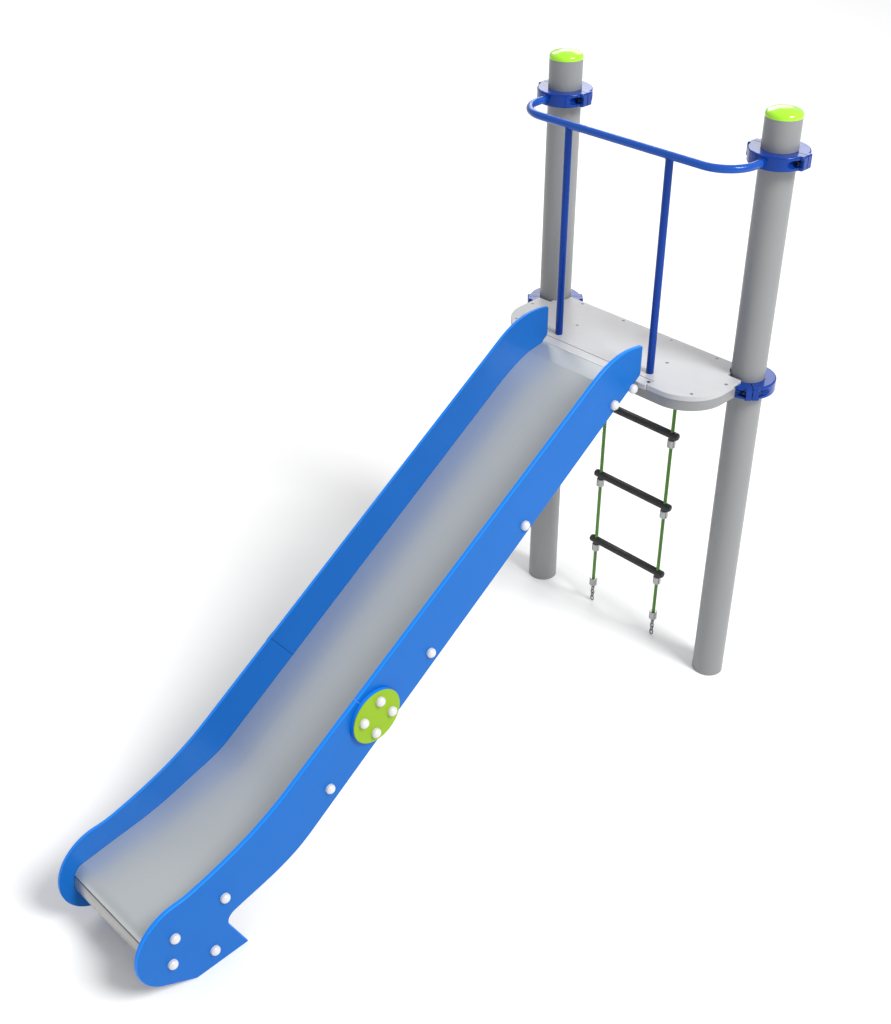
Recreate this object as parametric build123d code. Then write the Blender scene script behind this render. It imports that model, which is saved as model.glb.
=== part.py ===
"""Straight playground slide: two posts, a small deck with a guard rail, a rope ladder and a chute.

X runs across the slide, the chute descends towards -Y, Z is up. Every part is laid out from the
posts' line (y = 0) and moved by ORIGIN_Y at export, so that the origin is the centre of the
footprint, on the ground.
"""
import os
from math import asin, atan2, cos, degrees, radians, sin

from build123d import *

os.makedirs("parts", exist_ok=True)

# ---------------------------------------------------------------- driving dimensions (mm)
POST_D = 133.0
POST_WALL = 3.6
POST_H = 2500.0
POST_X = 500.0                    # post axes are at +-POST_X
FOOT_PLATE = 5.0

CAP_D = 135.0
CAP_LIP = 4.0
CAP_DOME = 28.0

CLAMP_H = 52.0
CLAMP_R = 110.0
CLAMP_FLANGE_X = 119.0            # flange ends, along the split
CLAMP_FLANGE_Y = 30.0             # flange half thickness, across the split
CLAMP_GAP = 3.0
CLAMP_EDGE = 6.0
CLAMP_BOLT_X = 97.0
CLAMP_BOLT_D = 12.0
CLAMP_SEAT_Y = 24.0               # pocket floor, from the split plane
CLAMP_POCKET = 28.0
UPPER_CLAMP_Z = 2361.0
LOWER_CLAMP_Z = 1460.5

RAIL_D = 30.0
RAIL_Y = -276.0
RAIL_END_X = 505.0
RAIL_BEND = 130.0
RAIL_BOSS_D = 37.0
RAIL_BOSS_Y = -121.0
UPRIGHT_X = 235.0

DECK_TOP = 1500.0
DECK_T = 20.0
DECK_BACK = 22.0
DECK_FRONT = -362.0
DECK_SIDE = 522.0
DECK_CORNER = 172.0
DECK_TIP_Y = -78.0
DECK_CUT = 200.0                  # free space beside each post, outside the notch
NOTCH_R = 70.0
SKIRT_H = 43.0
SKIRT_T = 4.0
SKIRT_INSET = 2.0
STRIP_X = 289.0
STRIP_REAR = -318.5
STRIP_FRONT = -370.0
SEAM = 2.5                        # open joint beside the entry strip
BOARD_SEAM = 1.5                  # open joint between the two boards of a panel
BAR = 38.0                        # square tube under the deck

PANEL_T = 15.0
PANEL_IN = 233.0                  # inner faces of the side panels
PANEL_OUT = PANEL_IN + PANEL_T
PANEL_EDGE = 6.0
NOSE_R = 181.5
NOSE_Y = -2653.0
NOSE_Z = 230.0
NOSE_TURN = 59.5                  # degrees of the nose's arc below its foremost point

SHEET_T = 2.5
SHEET_X = 232.0
CHUTE_SLOPE = 0.6616
CHUTE_REF = (-1000.0, 1158.0)     # a point on the straight run's surface
FOLD_R = 4.0                      # folded edges of the sheet, on the outer surface
FOLD_HEM = 7.0
COVER_R = 104.0                   # toe cover's outer surface
COVER_Y = -2675.0
COVER_Z = 211.0
COVER_TOP = 19.9                  # degrees above the horizontal, where the cover's arc starts
COVER_LOW = 75.0                  # degrees below it, where the arc ends

TIE_D = 45.0
TIE_TOP_D = 24.0
TIE_HEEL_D = 34.0
TOE_D = 84.0
TUBE_WALL = 3.0
TIE_BOLT_D = 10.0
BOLT_HEAD_D = 20.0
BOLT_HEAD_H = 6.0
SLEEVE_D = 14.0
BOLT_CAP_D = 38.0
BOLT_CAP_H = 22.0
BOLT_CAP_RIM = 9.0

DISC_D = 220.0
DISC_BODY = 16.0
DISC_FACE = 4.0
DISC_Y = -1762.0
DISC_Z = 690.0
DISC_BOLT_R = 68.0

LADDER_X = 180.0
ROPE_D = 16.0
RUNG_D = 34.0
RUNG_X = 212.0
RUNG_Z = (1077.0, 717.0, 357.0)
PIVOT_Z = 1405.0
PIN_D = 12.0
END_FERRULE = (90.0, 136.0)
COLLAR_D = 30.0
COLLAR_LOW = 20.5                 # collar's lower face, below the rung's axis
FERRULE_D = 36.0
FERRULE_H = 38.0
LINK_WIRE = 6.0
LINK_PITCH = 18.5
LINK_PLAY = 0.3
LINK_W = 21.0
LINK_TOP_Z = 89.5

ORIGIN_Y = 1362.25                # footprint's centre, in front of the posts' line

FIT = 0.1                         # radial clearance of a shank in its hole
GAP = 0.2                         # clearance between faces that nearly touch

SLOPE = degrees(atan2(CHUTE_SLOPE, 1.0))


# ---------------------------------------------------------------- helpers
def rod(x, y, z, d, length, axis="Z"):
    """A cylinder that starts at (x, y, z) and runs length along +axis."""
    turn = {"X": (0, 90, 0), "Y": (-90, 0, 0), "Z": (0, 0, 0)}[axis]
    base = Pos(x, y, z) * Rot(*turn)
    return base * Cylinder(d / 2, length, align=(Align.CENTER, Align.CENTER, Align.MIN))


def brick(x0, x1, y0, y1, z0, z1):
    """A box between two corners."""
    size = (x1 - x0, y1 - y0, z1 - z0)
    return Pos((x0 + x1) / 2, (y0 + y1) / 2, (z0 + z1) / 2) * Box(*size)


def square_bar_x(x0, x1, y, z, wall=3.0):
    """A square tube along X, centred on (y, z)."""
    half = BAR / 2
    outer = brick(x0, x1, y - half, y + half, z - half, z + half)
    inner = brick(x0, x1, y - half + wall, y + half - wall, z - half + wall, z + half - wall)
    return outer - inner


def square_bar_y(y0, y1, x, z, wall=3.0):
    """A square tube along Y, centred on (x, z)."""
    half = BAR / 2
    outer = brick(x - half, x + half, y0, y1, z - half, z + half)
    inner = brick(x - half + wall, x + half - wall, y0, y1, z - half + wall, z + half - wall)
    return outer - inner


def mirrored(shape):
    return mirror(shape, Plane.YZ)


def both_sides(shapes):
    """The shapes and their mirror images in x = 0."""
    return list(shapes) + [mirrored(s) for s in shapes]


def end_plated_tube(d, y, z, wall, plate):
    """A tube between the panels, closed by plates that take the tie bolts."""
    length = 2 * (PANEL_IN - GAP)
    tube = rod(-length / 2, y, z, d, length, "X")
    tube -= rod(-length / 2 + plate, y, z, d - 2 * wall, length - 2 * plate, "X")
    return tube - rod(-length / 2 - 1, y, z, TIE_BOLT_D + 2 * FIT, length + 2, "X")


# ---------------------------------------------------------------- chute surface, drawn as (y, z)
def straight_z(y):
    """Height of the straight run's surface."""
    return CHUTE_REF[1] + CHUTE_SLOPE * (y - CHUTE_REF[0])


CHUTE_START = (STRIP_FRONT - SEAM, DECK_TOP)
CREASE = (-459.0, 1486.0)
STRAIGHT_TOP = (-675.0, straight_z(-675.0))
STRAIGHT_END = (-2080.0, straight_z(-2080.0))
LIP_TOP = (-2732.0, 291.5)
LIP_DROP = 7.0                    # degrees of fall left at the lip
LIP_END = (-2769.5, 260.0)
LIP_END_DROP = 64.0


def chute_edges():
    """The sliding surface, from the deck to the folded edge below the lip."""
    down = (-cos(radians(SLOPE)), -sin(radians(SLOPE)))
    flat = (-cos(radians(LIP_DROP)), -sin(radians(LIP_DROP)))
    mouth = Line(CHUTE_START, CREASE)
    brow = Spline(CREASE, (-567.0, 1440.0), STRAIGHT_TOP, tangents=[(-1, -0.30), down])
    run = Line(STRAIGHT_TOP, STRAIGHT_END)
    steep = (-cos(radians(LIP_END_DROP)), -sin(radians(LIP_END_DROP)))
    flare_points = [STRAIGHT_END, (-2223.0, 389.0), (-2431.0, 332.0), (-2600.0, 309.0), LIP_TOP]
    flare = Spline(*flare_points, tangents=[down, flat])
    lip = Spline(LIP_TOP, (-2752.0, 283.5), (-2763.5, 271.0), LIP_END, tangents=[flat, steep])
    fold = JernArc(LIP_END, steep, FOLD_R, 95)
    hem = Line(fold @ 1, (fold @ 1) + (fold % 1) * FOLD_HEM)
    return [mouth, brow, run, flare, lip, fold, hem]


SURFACE = chute_edges()


def below_chute(y, drop):
    """The point that lies drop below the surface, square to it, under the place at y."""
    edge = [e for e in SURFACE if (e @ 1).X <= y <= (e @ 0).X][0]
    low, high = 0.0, 1.0
    for _ in range(30):
        middle = (low + high) / 2
        if (edge @ middle).X > y:
            low = middle
        else:
            high = middle
    point = edge @ low
    along = edge % low
    return point.X - along.Y * drop, point.Y + along.X * drop


TOP_TIES = [below_chute(y, SHEET_T + TIE_TOP_D / 2 + GAP) for y in (-399.0, -511.0)]
MAIN_TIES = [
    below_chute(y, SHEET_T + TIE_D / 2 + GAP) for y in (-1003.0, -1494.0, -1998.0, -2473.0, -2684.0)
]
HEEL_TIE = (-2538.0, 82.0)
TOE_TUBE = (-2705.0, 160.0)
TIE_POINTS = TOP_TIES + MAIN_TIES + [HEEL_TIE, TOE_TUBE]


# ---------------------------------------------------------------- posts
def post(x):
    tube = rod(x, 0, 0, POST_D, POST_H)
    return tube - rod(x, 0, 0, POST_D - 2 * POST_WALL, POST_H)


def post_foot(x):
    return rod(x, 0, 0, POST_D - 2 * POST_WALL - 2 * FIT, FOOT_PLATE)


def post_cap(x):
    """A domed cap with a skirt that plugs the tube."""
    r = CAP_D / 2
    skirt = POST_D / 2 - POST_WALL - FIT
    foot = POST_H + GAP
    rim = foot + CAP_LIP
    top = rim + CAP_DOME
    middle = (r * cos(radians(45)), rim + CAP_DOME * sin(radians(45)))
    bore = skirt - 4
    low = foot - 40
    edges = [
        Polyline((0, foot), (bore, foot), (bore, low), (skirt, low), (skirt, foot), (r, foot), (r, rim)),
        Spline((r, rim), middle, (0, top), tangents=[(0, 1), (-1, 0)]),
        Line((0, top), (0, foot)),
    ]
    return Pos(x, 0, 0) * revolve(Plane.XZ * make_face(edges), Axis.Z)


# ---------------------------------------------------------------- clamps
def clamp_halves(x, z, turn, boss_dx=None):
    """Front (-Y) and rear half of a clamp about a post, turned about Z."""
    half_h = CLAMP_H / 2
    plan = Circle(CLAMP_R) + RectangleRounded(2 * CLAMP_FLANGE_X, 2 * CLAMP_FLANGE_Y, 9)
    body = Pos(0, 0, -half_h) * extrude(plan, amount=CLAMP_H)
    rims = body.faces().sort_by(Axis.Z)
    body = fillet(rims[0].edges() + rims[-1].edges(), CLAMP_EDGE)
    if boss_dx is not None:
        body += rod(boss_dx, RAIL_BOSS_Y, 0, RAIL_BOSS_D, -RAIL_BOSS_Y - CLAMP_R / 2, "Y")
        body -= rod(boss_dx, RAIL_BOSS_Y - 1, 0, RAIL_D + 2 * FIT, 22, "Y")
    body -= rod(0, 0, -half_h, POST_D + 2 * FIT, CLAMP_H)
    for side in (-1, 1):
        for face in (-1, 1):
            reach = CLAMP_R - CLAMP_SEAT_Y
            low = CLAMP_SEAT_Y if face > 0 else -CLAMP_R
            slot = rod(side * CLAMP_BOLT_X, low, 0, CLAMP_POCKET, reach, "Y")
            end = side * (CLAMP_FLANGE_X + 2)
            x0, x1 = sorted((side * CLAMP_BOLT_X, end))
            slot += brick(x0, x1, low, low + reach, -CLAMP_POCKET / 2, CLAMP_POCKET / 2)
            body -= slot
        body -= rod(side * CLAMP_BOLT_X, -40, 0, CLAMP_BOLT_D + 2 * FIT, 80, "Y")
    wide = 200.0
    front = body & brick(-wide, wide, -wide, -CLAMP_GAP / 2, -half_h - 1, half_h + 1)
    rear = body & brick(-wide, wide, CLAMP_GAP / 2, wide, -half_h - 1, half_h + 1)
    place = Pos(x, 0, z) * Rot(0, 0, turn)
    return place * front, place * rear


def clamp_fasteners(x, z, turn):
    """Cap-head bolts from the front pockets and hexagon nuts in the rear ones."""
    place = Pos(x, 0, z) * Rot(0, 0, turn)
    bolts = []
    nuts = []
    head = 12.0
    nut_h = 10.0
    tip = CLAMP_SEAT_Y + GAP + nut_h + 3
    for side in (-1, 1):
        bx = side * CLAMP_BOLT_X
        bolt = rod(bx, -CLAMP_SEAT_Y - GAP - head, 0, 18, head, "Y")
        bolt = chamfer(bolt.edges().sort_by(Axis.Y)[0], 1)
        bolt += rod(bx, -CLAMP_SEAT_Y - GAP, 0, CLAMP_BOLT_D, CLAMP_SEAT_Y + GAP + tip, "Y")
        key = Plane((bx, -CLAMP_SEAT_Y - GAP - head, 0), z_dir=(0, 1, 0)) * RegularPolygon(5, 6)
        bolt -= extrude(key, amount=7)
        seat = Plane((bx, CLAMP_SEAT_Y + GAP, 0), z_dir=(0, 1, 0))
        nut = extrude(seat * RegularPolygon(10.4, 6), amount=nut_h)
        nut -= rod(bx, CLAMP_SEAT_Y, 0, CLAMP_BOLT_D + 2 * FIT, nut_h + 2, "Y")
        bolts.append(place * bolt)
        nuts.append(place * nut)
    return bolts, nuts


# ---------------------------------------------------------------- guard rail
def guard_rail():
    inset = 20.0
    end_y = RAIL_BOSS_Y + inset
    path = FilletPolyline(
        (RAIL_END_X, end_y), (RAIL_END_X, RAIL_Y), (-RAIL_END_X, RAIL_Y), (-RAIL_END_X, end_y),
        radius=RAIL_BEND,
    )
    path = Pos(0, 0, UPPER_CLAMP_Z) * path
    start = Plane(path @ 0, z_dir=path % 0)
    ring = Circle(RAIL_D / 2) - Circle(RAIL_D / 2 - 2.5)
    return sweep(start * ring, path=path)


def guard_upright(x):
    tube = rod(x, RAIL_Y, DECK_TOP, RAIL_D, UPPER_CLAMP_Z - DECK_TOP)
    tube -= rod(x, RAIL_Y, DECK_TOP + 12, RAIL_D - 5, UPPER_CLAMP_Z - DECK_TOP)
    return tube - rod(x - 40, RAIL_Y, UPPER_CLAMP_Z, RAIL_D + 2 * FIT, 80, "X")


# ---------------------------------------------------------------- deck
def deck_plan(inset=0.0, notch=NOTCH_R):
    """Outline of the deck in plan, as a face."""
    side = DECK_SIDE - inset
    back = DECK_BACK - inset
    front = DECK_FRONT + inset
    r = DECK_CORNER - inset
    outline = Polyline((side, back), (side, front), (-side, front), (-side, back), close=True)
    face = make_face(outline)
    corners = face.vertices().group_by(Axis.Y)[0]
    face = fillet(corners, r)
    for side in (-1, 1):
        face -= Pos(side * POST_X, 0) * Circle(notch)
        beside = Rectangle(DECK_CUT, DECK_CUT, align=(Align.CENTER, Align.MIN))
        face -= Pos(side * (POST_X + DECK_CUT / 2 - 40), DECK_TIP_Y) * beside
    return face


def strip_gap():
    return brick(-STRIP_X, STRIP_X, STRIP_FRONT - 10, STRIP_REAR, DECK_TOP - DECK_T - 1, DECK_TOP + 1)


SCREWS = [(500.0, -145.0), (350.0, 4.0), (233.0, -165.0), (452.0, -298.0), (125.0, 2.0)]
STRIP_SCREW = (279.0, -339.0)
SCREW_HEAD = 15.0
SCREW_D = 7.0
SCREW_BELOW = 10.0                # how far a screw reaches below the deck plate
LUG_SCREWS = (SCREWS[0], SCREWS[3])
LUG = 12.0                        # half side, and height, of a threaded lug


def countersink(x, y, clearance):
    """The space of a countersunk screw, with its head flush with the deck."""
    depth = (SCREW_HEAD - SCREW_D) / 2
    head = Pos(x, y, DECK_TOP - depth / 2) * Cone(SCREW_D / 2 + clearance, SCREW_HEAD / 2 + clearance, depth)
    low = DECK_TOP - DECK_T - SCREW_BELOW
    return head + rod(x, y, low, SCREW_D + 2 * clearance, DECK_TOP - depth - low)


def deck_screw(x, y):
    screw = countersink(x, y, 0)
    return screw - extrude(Pos(x, y, DECK_TOP) * RegularPolygon(2.6, 6), amount=-3)


def deck_plate():
    plate = Pos(0, 0, DECK_TOP - DECK_T) * extrude(deck_plan(), amount=DECK_T)
    plate = fillet(plate.faces().sort_by(Axis.Z)[-1].edges(), 1.5)
    plate -= strip_gap()
    for x in (-POST_X, POST_X):
        recess = LOWER_CLAMP_Z + CLAMP_H / 2 + 1
        plate -= rod(x, 0, DECK_TOP - DECK_T - 1, 2 * CLAMP_FLANGE_X + 8, recess - DECK_TOP + DECK_T + 1)
    for x, y in SCREWS:
        plate -= countersink(x, y, FIT)
        plate -= countersink(-x, y, FIT)
    return plate


def entry_strip():
    strip = brick(
        -STRIP_X + SEAM, STRIP_X - SEAM, STRIP_FRONT, STRIP_REAR - SEAM, DECK_TOP - DECK_T, DECK_TOP
    )
    strip = fillet(strip.edges().filter_by(Axis.X).sort_by(Axis.Z)[-2:], 1.5)
    for x in (-STRIP_SCREW[0], STRIP_SCREW[0]):
        strip -= countersink(x, STRIP_SCREW[1], FIT)
    return strip


SKIRT_LOW = DECK_TOP - DECK_T - SKIRT_H
BAR_Z = DECK_TOP - DECK_T - GAP - BAR / 2
BACK_BAR_Y = DECK_BACK - SKIRT_INSET - SKIRT_T - GAP - BAR / 2
FRONT_BAR_Y = -332.0
FRONT_BAR_X = 384.0
JOIST_X = 234.0


BRACKET_X = 120.0
BRACKET_T = 8.0
BRACKET_BOLT_D = 8.0
BRACKET_BOLTS_X = (BRACKET_X - 20, BRACKET_X + 20)
SKIRT_FACE = DECK_FRONT + SKIRT_INSET


def clear_clamps(shape):
    """Room for the lower clamps where a deck piece passes them."""
    for x in (-POST_X, POST_X):
        shape -= rod(x, 0, SKIRT_LOW - 5, 2 * CLAMP_R + 2 * GAP, SKIRT_H + 10)
        turn = 45 if x < 0 else -45
        flange = Box(2 * CLAMP_FLANGE_X + 4, 2 * CLAMP_FLANGE_Y + 4, 2 * SKIRT_H)
        shape -= Pos(x, 0, SKIRT_LOW + SKIRT_H / 2) * Rot(0, 0, turn) * flange
    return shape


def both_holes(x, y):
    """Room for a deck screw at (x, y) and at (-x, y)."""
    return countersink(x, y, FIT) + countersink(-x, y, FIT)


def deck_skirt():
    outer = deck_plan(SKIRT_INSET, NOTCH_R + SKIRT_INSET)
    inner = deck_plan(SKIRT_INSET + SKIRT_T, NOTCH_R + SKIRT_INSET + SKIRT_T)
    band = Pos(0, 0, SKIRT_LOW) * extrude(outer - inner, amount=SKIRT_H - GAP)
    for x in BRACKET_BOLTS_X:
        for side in (-1, 1):
            band -= rod(side * x, SKIRT_FACE - 10, BAR_Z, BRACKET_BOLT_D + 2 * FIT, 20, "Y")
    return clear_clamps(band)


def deck_cross_bars():
    back = square_bar_x(-POST_X + CLAMP_R, POST_X - CLAMP_R, BACK_BAR_Y, BAR_Z)
    front = square_bar_x(-FRONT_BAR_X, FRONT_BAR_X, FRONT_BAR_Y, BAR_Z)
    for x, y in (SCREWS[1], SCREWS[4]):
        back -= both_holes(x, y)
    for x, y in (STRIP_SCREW,):
        front -= both_holes(x, y)
    return [clear_clamps(back), front]


def deck_joists():
    y0 = FRONT_BAR_Y + BAR / 2 + GAP
    y1 = BACK_BAR_Y - BAR / 2 - GAP
    joist = square_bar_y(y0, y1, JOIST_X, BAR_Z)
    return both_sides([joist - both_holes(*SCREWS[2])])


def deck_lug(x, y):
    top = DECK_TOP - DECK_T - GAP
    return brick(x - LUG, x + LUG, y - LUG, y + LUG, top - LUG, top) - both_holes(x, y)


# ---------------------------------------------------------------- slide
SEAM_POINT = (-1786.5, 727.0)
SEAM_TURN = 34.5                  # the seam is square to the mid line of the boards


def panel_plan():
    """Side outline of a panel, drawn as (y, z)."""
    top_run = (-1, -0.6545)
    low_run = (1, 0.694)
    back_low = (-350.0, 1522.5)
    back_top = (-350.0, 1646.0)
    slope_top = (-701.0, 1544.0)
    slope_end = (-2160.0, 589.0)
    nose_top = (NOSE_Y, NOSE_Z + NOSE_R)
    low = radians(NOSE_TURN)
    nose_end = (NOSE_Y - NOSE_R * cos(low), NOSE_Z - NOSE_R * sin(low))
    toe = (-2621.0, 0.0)
    heel = (-2395.0, 0.0)
    notch = (-2479.0, 190.0)
    under_flat = (-2400.0, 209.0)
    under_start = (-2080.0, 320.0)
    edges = [
        Line(back_low, back_top),
        Spline(
            back_top, (-450.0, 1656.0), (-539.0, 1638.0), slope_top, tangents=[(-1, 0.14), top_run]
        ),
        Line(slope_top, slope_end),
        Spline(slope_end, (-2394.0, 474.0), (-2555.0, 426.0), nose_top, tangents=[top_run, (-1, 0)]),
        ThreePointArc(nose_top, (NOSE_Y - NOSE_R, NOSE_Z), nose_end),
        Line(nose_end, toe),
        Line(toe, heel),
        Line(heel, notch),
        Line(notch, under_flat),
        Spline(under_flat, (-2251.0, 243.5), under_start, tangents=[(1, 0.24), low_run]),
        Line(under_start, back_low),
    ]
    face = make_face(edges)
    for corner, r in ((back_low, 18), (back_top, 7), (heel, 3), (toe, 12), (notch, 38)):
        face = fillet(face.vertices().sort_by_distance((corner[0], corner[1], 0))[0], r)
    return face


def disc_bolt_points():
    turns = [SLOPE + 45 + 90 * i for i in range(4)]
    return [(DISC_Y + DISC_BOLT_R * cos(radians(t)), DISC_Z + DISC_BOLT_R * sin(radians(t))) for t in turns]


def routed(board):
    """A board with its outer edge rounded and its bolt holes drilled."""
    board = fillet(board.faces().sort_by(Axis.X)[-1].edges(), PANEL_EDGE)
    for y, z in TIE_POINTS:
        board -= rod(PANEL_IN - 1, y, z, TIE_BOLT_D + 2 * FIT, PANEL_T + 2, "X")
    for y, z in disc_bolt_points():
        board -= rod(PANEL_IN - 1, y, z, SLEEVE_D + 2 * FIT, PANEL_T + 2, "X")
    return board


def boards():
    """Upper and lower board of the right-hand panel, parted square to the slope."""
    whole = Pos(PANEL_IN, 0, 0) * extrude(Plane.YZ * panel_plan(), amount=PANEL_T)
    reach = 4000.0
    y, z = SEAM_POINT
    place = Pos(PANEL_IN + PANEL_T / 2, y, z) * Rot(SEAM_TURN, 0, 0)
    upper = place * Pos(0, (reach + BOARD_SEAM) / 2, 0) * Box(60, reach, reach)
    lower = place * Pos(0, -(reach + BOARD_SEAM) / 2, 0) * Box(60, reach, reach)
    return routed(whole & upper), routed(whole & lower)


def bent_sheet(edges):
    """A sheet between the panels whose outer surface follows the edges."""
    path = Plane.YZ * Wire(edges)
    start = Plane(path @ 0, x_dir=(1, 0, 0), z_dir=path % 0)
    section = start * Pos(0, -SHEET_T / 2) * Rectangle(2 * SHEET_X, SHEET_T)
    return sweep(section, path=path, transition=Transition.RIGHT)


def toe_cover():
    """The rounded sheet under the lip, which lies against the toe tube."""
    top = radians(COVER_TOP)
    inner_r = COVER_R - FOLD_R
    fold_start = (COVER_Y - inner_r * cos(top), COVER_Z + inner_r * sin(top) + FOLD_R)
    hem = Line((fold_start[0] + FOLD_HEM, fold_start[1]), fold_start)
    fold = JernArc(fold_start, (-1, 0), FOLD_R, 90 - COVER_TOP)
    shell = JernArc(fold @ 1, fold % 1, COVER_R, COVER_TOP + COVER_LOW)
    return bent_sheet([hem, fold, shell])


def tie_bars():
    top = [end_plated_tube(TIE_TOP_D, y, z, TUBE_WALL, 12) for y, z in TOP_TIES]
    main = [end_plated_tube(TIE_D, y, z, TUBE_WALL, 12) for y, z in MAIN_TIES]
    heel = end_plated_tube(TIE_HEEL_D, HEEL_TIE[0], HEEL_TIE[1], TUBE_WALL, 12)
    return top, main + [heel]


def button_bolt(y, z, face_x, shank):
    """A button-head bolt that enters the right-hand face at face_x and runs towards -X."""
    head = rod(face_x + GAP, y, z, BOLT_HEAD_D, BOLT_HEAD_H, "X")
    head = fillet(head.edges().filter_by(GeomType.CIRCLE).sort_by(Axis.X)[-1], 3)
    return head + rod(face_x - shank, y, z, TIE_BOLT_D, shank + 2 * GAP, "X")


def bolt_cap(y, z, face_x):
    """A domed plastic cap that covers a bolt head."""
    r = BOLT_CAP_D / 2
    rim = BOLT_CAP_RIM
    hollow = BOLT_HEAD_H + 2 * GAP
    inner = BOLT_HEAD_D / 2 + 2 * GAP
    rise = BOLT_CAP_H - rim
    ball = (r * r + rise * rise) / (2 * rise)
    turn = asin(r / ball) / 2
    middle = (ball * sin(turn), BOLT_CAP_H - ball * (1 - cos(turn)))
    edges = [
        Polyline((0, hollow), (inner, hollow), (inner, 0), (r, 0), (r, rim)),
        ThreePointArc((r, rim), middle, (0, BOLT_CAP_H)),
        Line((0, BOLT_CAP_H), (0, hollow)),
    ]
    cap = revolve(Plane.XZ * make_face(edges), Axis.Z)
    return Pos(face_x + GAP, y, z) * Rot(0, 90, 0) * cap


def joint_disc():
    """Blue body and lime face layer of the right-hand disc."""
    body = rod(PANEL_OUT + GAP, DISC_Y, DISC_Z, DISC_D, DISC_BODY, "X")
    body = fillet(body.edges().filter_by(GeomType.CIRCLE).sort_by(Axis.X)[0], 2)
    face = rod(PANEL_OUT + GAP + DISC_BODY, DISC_Y, DISC_Z, DISC_D, DISC_FACE, "X")
    face = fillet(face.edges().filter_by(GeomType.CIRCLE).sort_by(Axis.X)[-1], 2.5)
    for y, z in disc_bolt_points():
        hole = rod(PANEL_OUT - 1, y, z, TIE_BOLT_D + 2 * FIT, DISC_BODY + DISC_FACE + 4, "X")
        body -= hole
        face -= hole
    return body, face


def sleeve_nut(y, z):
    """A flush sleeve nut in the panel, open towards the disc."""
    nut = rod(PANEL_IN + GAP, y, z, SLEEVE_D, PANEL_T - 2 * GAP, "X")
    return nut - rod(PANEL_IN + 3, y, z, TIE_BOLT_D + 2 * FIT, PANEL_T, "X")


# ---------------------------------------------------------------- brackets that hang the chute
def slide_bracket():
    """A flange on the deck's skirt with a web that carries the top tie bar."""
    x = BRACKET_X
    y, z = TOP_TIES[0]
    low = SKIRT_LOW + 4
    high = SKIRT_LOW + SKIRT_H - 4
    flange = brick(x - 32, x + 32, SKIRT_FACE - BRACKET_T, SKIRT_FACE - GAP, low, high)
    web = brick(x - BRACKET_T / 2, x + BRACKET_T / 2, y, SKIRT_FACE - BRACKET_T, low, high)
    for bolt_x in BRACKET_BOLTS_X:
        flange -= rod(bolt_x, SKIRT_FACE - 20, BAR_Z, BRACKET_BOLT_D + 2 * FIT, 40, "Y")
    return flange + web - rod(x - 40, y, z, TIE_TOP_D + 2 * FIT, 80, "X")


def bracket_bolt(x):
    seat = SKIRT_FACE - BRACKET_T - GAP
    head = extrude(Plane((x, seat, BAR_Z), z_dir=(0, -1, 0)) * RegularPolygon(7.5, 6), amount=5.5)
    return head + rod(x, seat, BAR_Z, BRACKET_BOLT_D, BRACKET_T + SKIRT_T + 4, "Y")


# ---------------------------------------------------------------- rope ladder
TERMINAL_LOW = 1300.0
ROPE_TOP = TERMINAL_LOW + 38.0
ROPE_LOW = END_FERRULE[0] + 24.0


def ladder_hanger(x):
    """An inverted U under the back bar, bored for the hanger pin."""
    top = BAR_Z - BAR / 2 - GAP
    u = brick(x - 18, x + 18, -18, 15, top - 6, top)
    for side in (-15, 15):
        cheek = brick(x + side - 3, x + side + 3, -15, 15, PIVOT_Z, top - 6)
        u += cheek + rod(x + side - 3, 0, PIVOT_Z, 30, 6, "X")
    return u - rod(x - 20, 0, PIVOT_Z, PIN_D + 2 * FIT, 40, "X")


def hanger_pin(x):
    pin = rod(x - 22, 0, PIVOT_Z, PIN_D, 44, "X")
    return pin + rod(x + 18 + GAP, 0, PIVOT_Z, PIN_D + 6, 4, "X")


def rope_terminal(x):
    """An eye on the hanger pin and the socket that the rope is pressed into."""
    eye = rod(x - 10, 0, PIVOT_Z, 38, 20, "X")
    neck = rod(x, 0, TERMINAL_LOW + 44, 18, PIVOT_Z - TERMINAL_LOW - 54)
    socket = rod(x, 0, TERMINAL_LOW, 27, 48)
    socket = chamfer(socket.edges().filter_by(GeomType.CIRCLE), 2)
    terminal = eye + neck + socket
    terminal -= rod(x, 0, TERMINAL_LOW - 1, ROPE_D + 2 * FIT, ROPE_TOP - TERMINAL_LOW + 2)
    return terminal - rod(x - 11, 0, PIVOT_Z, PIN_D + FIT, 22, "X")


def rope(x):
    return rod(x, 0, ROPE_LOW, ROPE_D, ROPE_TOP - ROPE_LOW)


def rung(z):
    bar = rod(-RUNG_X, 0, z, RUNG_D, 2 * RUNG_X, "X")
    bar = fillet(bar.edges().filter_by(GeomType.CIRCLE), 9)
    for x in (-LADDER_X, LADDER_X):
        bar -= rod(x, 0, z - RUNG_D, ROPE_D + 2 * FIT, 2 * RUNG_D)
    return bar


def rung_collar(x, z):
    """A short saddle under the rung."""
    collar = rod(x, 0, z - COLLAR_LOW, COLLAR_D, COLLAR_LOW)
    collar -= rod(x, 0, z - RUNG_D, ROPE_D + 2 * FIT, 2 * RUNG_D)
    return collar - rod(x - 30, 0, z, RUNG_D + 2 * FIT, 60, "X")


def rope_ferrule(x, z):
    """A pressed barrel below the collar."""
    top = z - COLLAR_LOW - GAP
    ferrule = rod(x, 0, top - FERRULE_H, FERRULE_D, FERRULE_H)
    ferrule = fillet(ferrule.edges().filter_by(GeomType.CIRCLE), 4)
    return ferrule - rod(x, 0, top - FERRULE_H - 1, ROPE_D + 2 * FIT, FERRULE_H + 2)


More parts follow.
